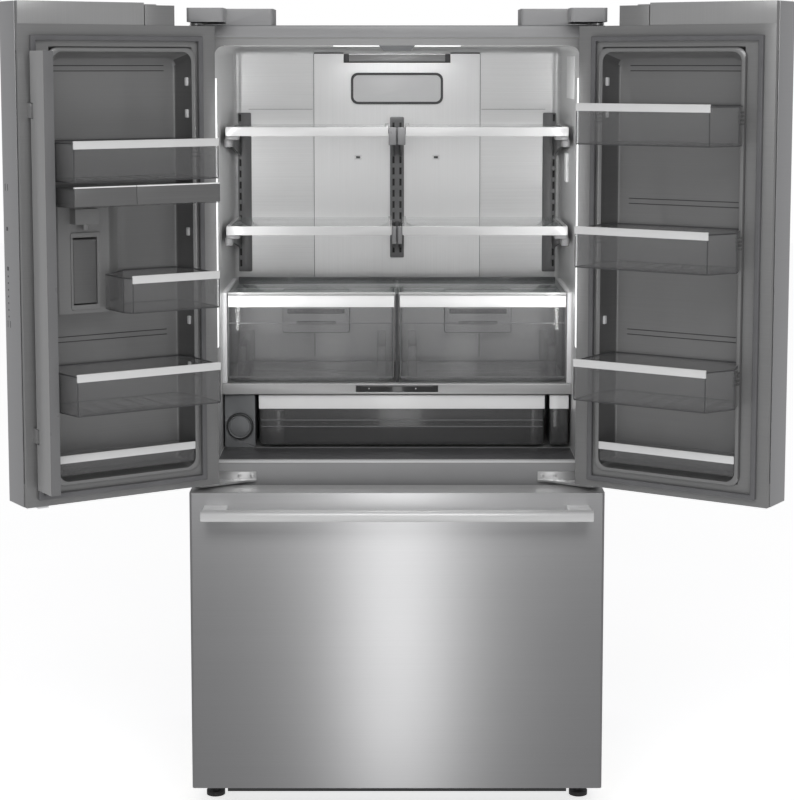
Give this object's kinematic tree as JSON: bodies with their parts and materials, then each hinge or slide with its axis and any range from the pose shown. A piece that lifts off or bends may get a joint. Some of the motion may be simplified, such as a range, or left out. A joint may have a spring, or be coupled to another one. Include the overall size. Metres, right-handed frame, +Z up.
{
  "type": "refrigerator",
  "caption": "French door refrigerator with a bottom freezer drawer, shown with both doors open on shelves, clear drawers, door bins and a bar handle on each front.",
  "frame": {"origin": "on the floor, under the centre of the box round the whole object with its doors open", "axes": "+Z up, +X to the viewer's right when facing the open doors, -Y out of the front"},
  "size_m": [1.6528, 1.0114, 1.787],
  "materials": {
    "painted_grey": "satin",
    "galvanised": "satin",
    "frame_grey": "satin",
    "foam": "matte",
    "liner_white": "satin",
    "duct_steel": "satin",
    "filter_white": "gloss",
    "lens": "gloss",
    "door_grey": "satin",
    "dark_plastic": "matte",
    "clear_glass": "polished",
    "trim_white": "gloss",
    "display": "gloss",
    "smoky_plastic": "gloss",
    "polished_steel": "polished",
    "black_rubber": "matte",
    "black_metal": "satin",
    "fin_aluminium": "satin",
    "brass": "satin",
    "clear_plastic": "gloss",
    "stainless": "satin",
    "gasket_grey": "matte"
  },
  "bodies": {
    "cabinet": {"cabinet_wrap": "painted_grey", "rear_panel": "galvanised", "base_frame": "galvanised", "front_frame": "frame_grey", "insulation_foam": "foam", "fridge_liner": "liner_white", "freezer_liner": "liner_white", "duct_cover": "duct_steel", "air_filter_cover": "filter_white", "light_lenses": "lens", "mullion_guide": "door_grey", "shelf_ladders": "dark_plastic", "shelf_glass": "clear_glass", "shelf_trim": "trim_white", "shelf_brackets": "dark_plastic", "crisper_cover": "clear_glass", "crisper_frame": "liner_white", "deck": "trim_white", "control_panel": "display", "filter_housing": "smoky_plastic", "hinge_brackets": "polished_steel", "hinge_covers": "frame_grey", "fasteners": "polished_steel", "leveling_feet": "black_rubber", "toe_grille": "dark_plastic", "compressor": "black_metal", "condenser": "black_metal", "evaporator": "fin_aluminium", "machine_cover": "galvanised", "water_inlet": "brass", "drawer_slides": "polished_steel"},
    "evaporator_fan": {"evaporator_fan": "dark_plastic"},
    "rollers": {"rear_rollers": "dark_plastic"},
    "filter_cap": {"filter_cap": "door_grey"},
    "crisper_left": {"crisper_left": "clear_plastic"},
    "crisper_right": {"crisper_right": "clear_plastic"},
    "deli_drawer": {"deli_drawer": "smoky_plastic"},
    "side_bin": {"side_bin": "smoky_plastic"},
    "freezer_drawer": {"freezer_front": "stainless", "freezer_front_liner": "door_grey", "freezer_gasket": "gasket_grey", "freezer_handle": "stainless", "freezer_basket": "clear_plastic"},
    "upper_basket": {"freezer_upper_basket": "clear_plastic"},
    "left_door": {"left_door_skin": "stainless", "left_door_liner": "door_grey", "left_door_gasket": "gasket_grey", "left_door_handle": "stainless", "left_door_bins": "smoky_plastic", "dairy_box": "smoky_plastic", "dispenser": "door_grey"},
    "right_door": {"right_door_skin": "stainless", "right_door_liner": "door_grey", "right_door_gasket": "gasket_grey", "right_door_handle": "stainless", "right_door_bins": "smoky_plastic"},
    "flip_mullion": {"flip_mullion": "frame_grey"},
    "dairy_flap_wide": {"dairy_flap_wide": "trim_white"},
    "dairy_flap_narrow": {"dairy_flap_narrow": "trim_white"},
    "dispenser_paddle": {"dispenser_paddle": "dark_plastic"}
  },
  "joints": [
    {"name": "left_door_hinge", "type": "hinge", "parent": "cabinet", "child": "left_door", "pos_m": [-0.432, -0.16129, 1.24], "axis": [0, 0, -1], "range_deg": [-147, 0]},
    {"name": "right_door_hinge", "type": "hinge", "parent": "cabinet", "child": "right_door", "pos_m": [0.432, -0.16129, 1.24], "axis": [0, 0, 1], "range_deg": [-147, 0]},
    {"name": "mullion_fold", "type": "hinge", "parent": "left_door", "child": "flip_mullion", "pos_m": [-0.73429, -0.43391, 1.228], "axis": [0, 0, 1], "range_deg": [-90, 0]},
    {"name": "freezer_drawer_slide", "type": "slide", "parent": "cabinet", "child": "freezer_drawer", "axis": [0, -1, 0], "range_m": [0, 0.4]},
    {"name": "upper_basket_slide", "type": "slide", "parent": "freezer_drawer", "child": "upper_basket", "axis": [0, 1, 0], "range_m": [0, 0.11]},
    {"name": "crisper_left_slide", "type": "slide", "parent": "cabinet", "child": "crisper_left", "axis": [0, -1, 0], "range_m": [0, 0.24]},
    {"name": "crisper_right_slide", "type": "slide", "parent": "cabinet", "child": "crisper_right", "axis": [0, -1, 0], "range_m": [0, 0.24]},
    {"name": "deli_drawer_slide", "type": "slide", "parent": "cabinet", "child": "deli_drawer", "axis": [0, -1, 0], "range_m": [0, 0.25]},
    {"name": "side_bin_slide", "type": "slide", "parent": "cabinet", "child": "side_bin", "axis": [0, -1, 0], "range_m": [0, 0.2]},
    {"name": "filter_cap_turn", "type": "hinge", "parent": "cabinet", "child": "filter_cap", "pos_m": [-0.361, 0.03371, 0.831], "axis": [0, -1, 0], "range_deg": [0, 90]},
    {"name": "dairy_flap_wide_hinge", "type": "hinge", "parent": "left_door", "child": "dairy_flap_wide", "pos_m": [-0.32001, -0.29335, 1.375], "axis": [0.8387, 0.5446, 0], "range_deg": [0, 85]},
    {"name": "dairy_flap_narrow_hinge", "type": "hinge", "parent": "left_door", "child": "dairy_flap_narrow", "pos_m": [-0.32001, -0.29335, 1.375], "axis": [0.8387, 0.5446, 0], "range_deg": [0, 85]},
    {"name": "dispenser_paddle_press", "type": "hinge", "parent": "left_door", "child": "dispenser_paddle", "pos_m": [-0.38959, -0.18621, 1.294], "axis": [-0.8387, -0.5446, 0], "range_deg": [-8, 0], "stiffness_Nm_per_rad": 1},
    {"name": "evaporator_fan_spin", "type": "hinge", "parent": "cabinet", "child": "evaporator_fan", "pos_m": [0, 0.43371, 0.625], "axis": [0, 1, 0], "continuous": true},
    {"name": "rear_roller_spin", "type": "hinge", "parent": "cabinet", "child": "rollers", "pos_m": [0, 0.45371, 0.025], "axis": [1, 0, 0], "continuous": true}
  ]
}
